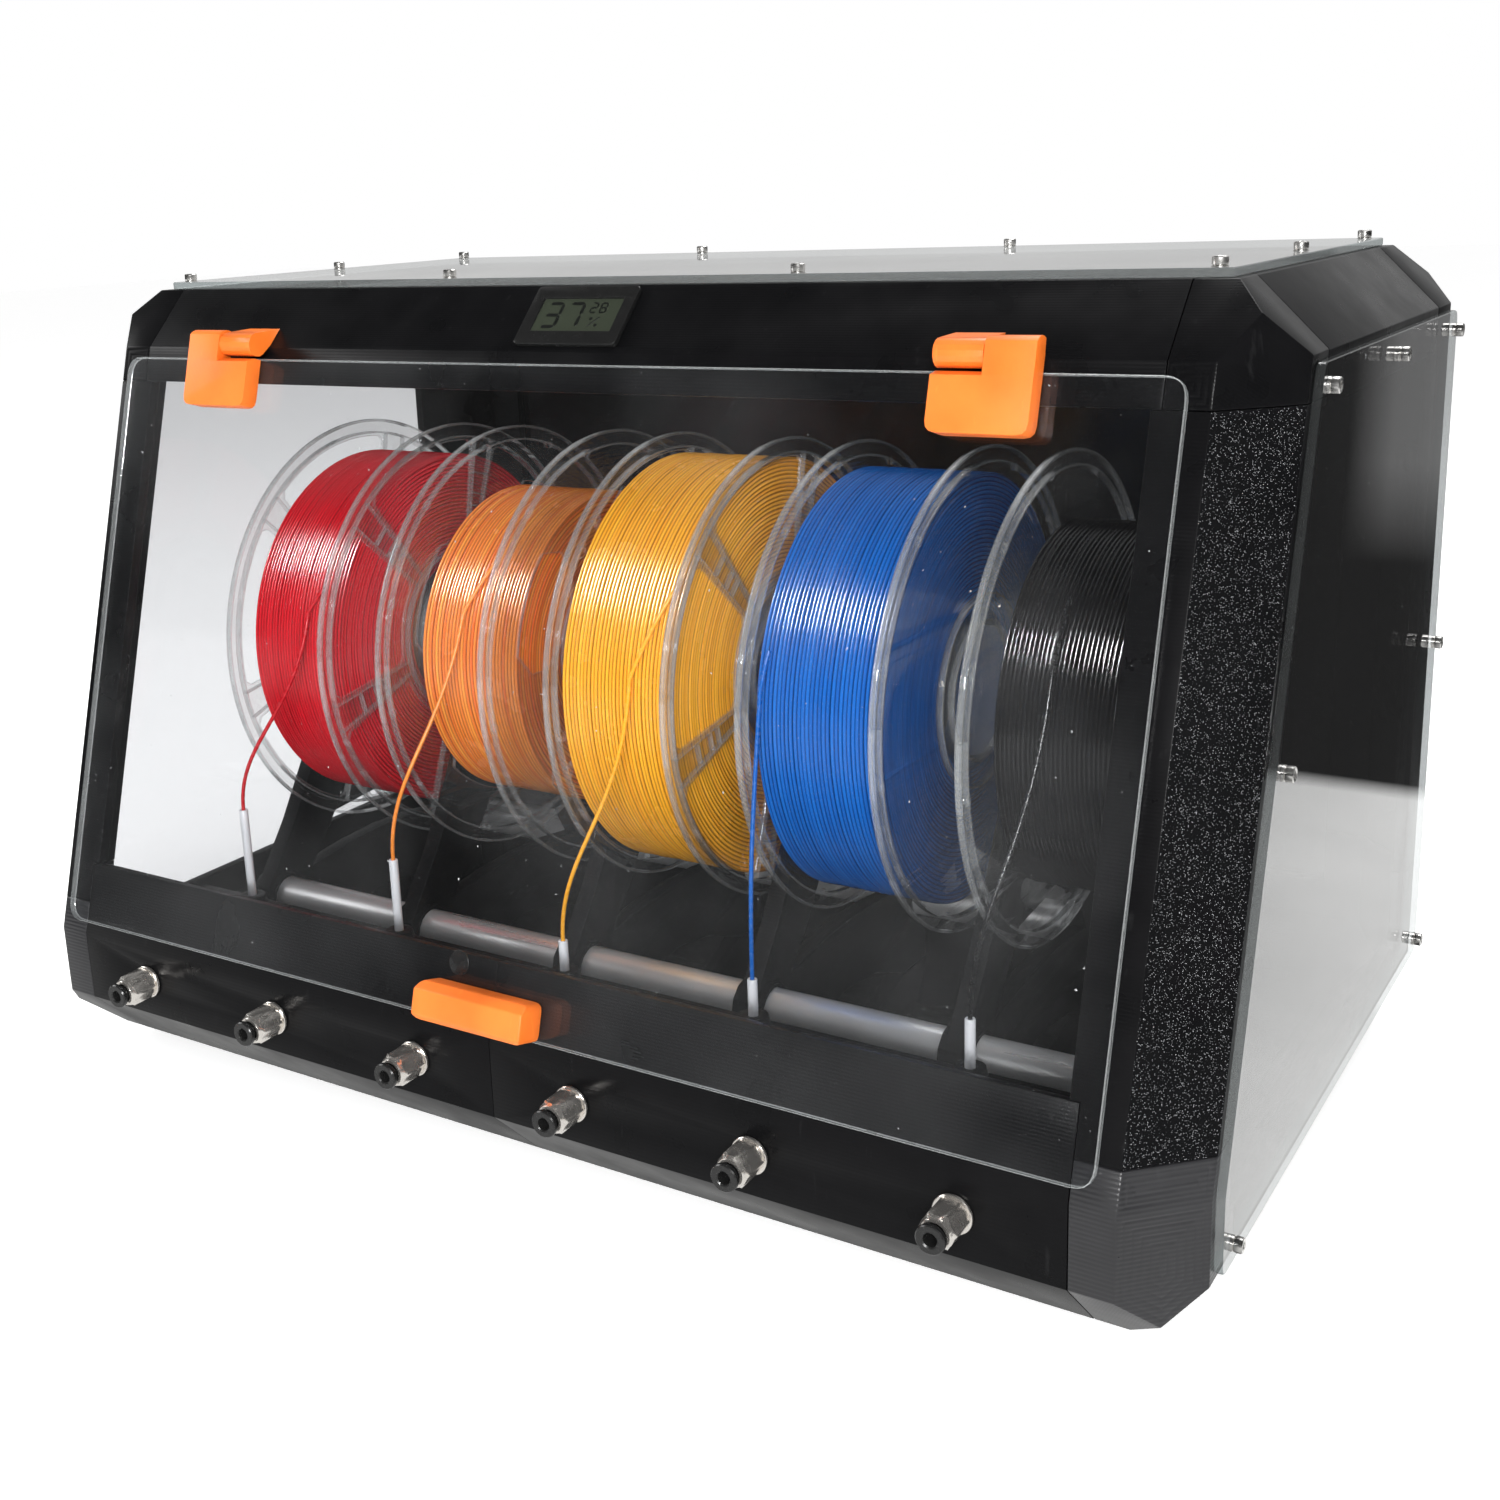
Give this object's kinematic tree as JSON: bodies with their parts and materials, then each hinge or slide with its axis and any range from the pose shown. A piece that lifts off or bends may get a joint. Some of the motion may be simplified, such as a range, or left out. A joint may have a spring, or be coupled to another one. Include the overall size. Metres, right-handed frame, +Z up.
{
  "type": "filament dryer box",
  "caption": "Bevelled box with a printed frame, clear panels, a top-hinged sloping clear door, a rack of filament spools and push-in tube ports along the front lip.",
  "frame": {"origin": "centre of the footprint, on the surface the feet stand on", "axes": "+X along the width to the right of someone facing the door, -Y out through the door side, +Z up"},
  "size_m": [0.5544, 0.3682, 0.3481],
  "materials": {
    "printed_black": "satin, with faint layer lines",
    "glitter_black": "satin with a fine sparkle",
    "orange_print": "satin",
    "clear_acrylic": "clear and polished",
    "pale_acrylic": "clear and polished, seen pale",
    "black_sheet": "polished",
    "hygrometer": "polished bezel round a grey-green liquid crystal",
    "rubber": "matte",
    "nickel": "nickel plated",
    "collar_black": "polished",
    "conduit": "drawn tube",
    "red_filament": "silky",
    "orange_filament": "silky",
    "yellow_filament": "silky",
    "blue_filament": "silky",
    "black_filament": "silky"
  },
  "bodies": {
    "cabinet": {"base_front_left": "printed_black", "base_front_right": "printed_black", "base_corner_left": "printed_black", "base_corner_right": "printed_black", "base_rail_left": "printed_black", "base_rail_right": "printed_black", "front_post_left": "glitter_black", "front_post_right": "glitter_black", "top_corner_left": "printed_black", "top_corner_right": "printed_black", "top_rail_left": "printed_black", "top_rail_right": "printed_black", "base_rear": "printed_black", "rear_arch": "printed_black", "top_front": "printed_black", "hygrometer": "hygrometer", "foot_front_left": "rubber", "foot_rear_left": "rubber", "foot_front_right": "rubber", "foot_rear_right": "rubber", "top_panel": "pale_acrylic", "left_panel": "clear_acrylic", "right_panel": "clear_acrylic", "rear_panel": "black_sheet", "floor_panel": "black_sheet", "hinge_wing_left": "orange_print", "hinge_wing_right": "orange_print", "fitting_1": "nickel", "fitting_2": "nickel", "fitting_3": "nickel", "fitting_4": "nickel", "fitting_5": "nickel", "fitting_6": "nickel", "conduit_front": "conduit", "conduit_rear": "conduit", "bracket_1": "printed_black", "bracket_2": "printed_black", "bracket_3": "printed_black", "bracket_4": "printed_black", "bracket_5": "printed_black", "filament_1": "red_filament", "filament_2": "orange_filament", "filament_3": "yellow_filament", "filament_4": "blue_filament", "filament_5": "black_filament"},
    "door": {"door_panel": "clear_acrylic", "door_handle": "orange_print", "hinge_leaf_left": "orange_print", "hinge_leaf_right": "orange_print"},
    "reel_1": {"spool_1": "red_filament"},
    "reel_2": {"spool_2": "orange_filament"},
    "reel_3": {"spool_3": "yellow_filament"},
    "reel_4": {"spool_4": "blue_filament"},
    "reel_5": {"spool_5": "black_filament"},
    "release_1": {"collar_1": "collar_black"},
    "release_2": {"collar_2": "collar_black"},
    "release_3": {"collar_3": "collar_black"},
    "release_4": {"collar_4": "collar_black"},
    "release_5": {"collar_5": "collar_black"},
    "release_6": {"collar_6": "collar_black"}
  },
  "joints": [
    {"name": "door_hinge", "type": "hinge", "parent": "cabinet", "child": "door", "pos_m": [0, -0.09716, 0.32017], "axis": [-1, 0, 0], "range_deg": [0, 120]},
    {"name": "reel_1_spin", "type": "hinge", "parent": "cabinet", "child": "reel_1", "pos_m": [-0.176, 0.0115, 0.173], "axis": [1, 0, 0], "continuous": true},
    {"name": "reel_2_spin", "type": "hinge", "parent": "cabinet", "child": "reel_2", "pos_m": [-0.085, 0.0115, 0.173], "axis": [1, 0, 0], "continuous": true},
    {"name": "reel_3_spin", "type": "hinge", "parent": "cabinet", "child": "reel_3", "pos_m": [0.006, 0.0115, 0.173], "axis": [1, 0, 0], "continuous": true},
    {"name": "reel_4_spin", "type": "hinge", "parent": "cabinet", "child": "reel_4", "pos_m": [0.097, 0.0115, 0.173], "axis": [1, 0, 0], "continuous": true},
    {"name": "reel_5_spin", "type": "hinge", "parent": "cabinet", "child": "reel_5", "pos_m": [0.188, 0.0115, 0.173], "axis": [1, 0, 0], "continuous": true},
    {"name": "release_1_press", "type": "slide", "parent": "cabinet", "child": "release_1", "axis": [0, 1, 0], "range_m": [0, 0.0015], "stiffness_N_per_m": 400},
    {"name": "release_2_press", "type": "slide", "parent": "cabinet", "child": "release_2", "axis": [0, 1, 0], "range_m": [0, 0.0015], "stiffness_N_per_m": 400},
    {"name": "release_3_press", "type": "slide", "parent": "cabinet", "child": "release_3", "axis": [0, 1, 0], "range_m": [0, 0.0015], "stiffness_N_per_m": 400},
    {"name": "release_4_press", "type": "slide", "parent": "cabinet", "child": "release_4", "axis": [0, 1, 0], "range_m": [0, 0.0015], "stiffness_N_per_m": 400},
    {"name": "release_5_press", "type": "slide", "parent": "cabinet", "child": "release_5", "axis": [0, 1, 0], "range_m": [0, 0.0015], "stiffness_N_per_m": 400},
    {"name": "release_6_press", "type": "slide", "parent": "cabinet", "child": "release_6", "axis": [0, 1, 0], "range_m": [0, 0.0015], "stiffness_N_per_m": 400}
  ]
}
